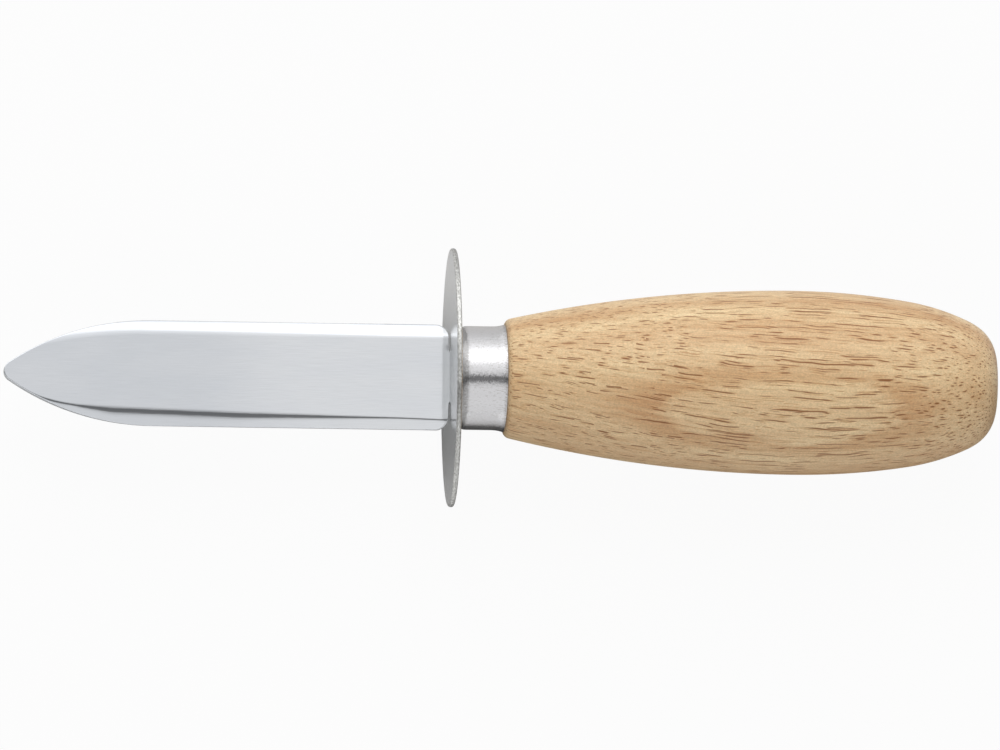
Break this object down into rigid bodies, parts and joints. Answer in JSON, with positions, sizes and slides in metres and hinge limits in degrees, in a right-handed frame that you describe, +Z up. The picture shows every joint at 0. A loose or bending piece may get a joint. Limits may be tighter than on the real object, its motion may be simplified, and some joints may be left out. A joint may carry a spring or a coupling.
{
  "type": "oyster knife",
  "caption": "Oyster knife with a blunt pointed steel blade, a flat oval guard plate, a polished ferrule and a turned barrel handle of pale wood.",
  "frame": {"origin": "on the surface that the knife lies on, under the middle of its overall length and its centre line", "axes": "+X along the knife from the point to the butt, +Y across the blade's width, +Z up, square to the blade's flat faces"},
  "size_m": [0.162, 0.0424, 0.03],
  "materials": {
    "blade_steel": "fine satin stainless steel, smoother on the ground edges",
    "guard_steel": "tumbled bright stainless sheet with a rounded rim",
    "ferrule_metal": "bright drawn metal with fine turning marks and small scuffs",
    "handle_wood": "pale straight-grained hardwood with short dark pores under satin lacquer",
    "tang_resin": "cured clear amber resin"
  },
  "bodies": {
    "root": {"blade": "blade_steel", "guard_plate": "guard_steel", "ferrule": "ferrule_metal", "handle": "handle_wood", "tang_adhesive": "tang_resin"}
  },
  "joints": []
}
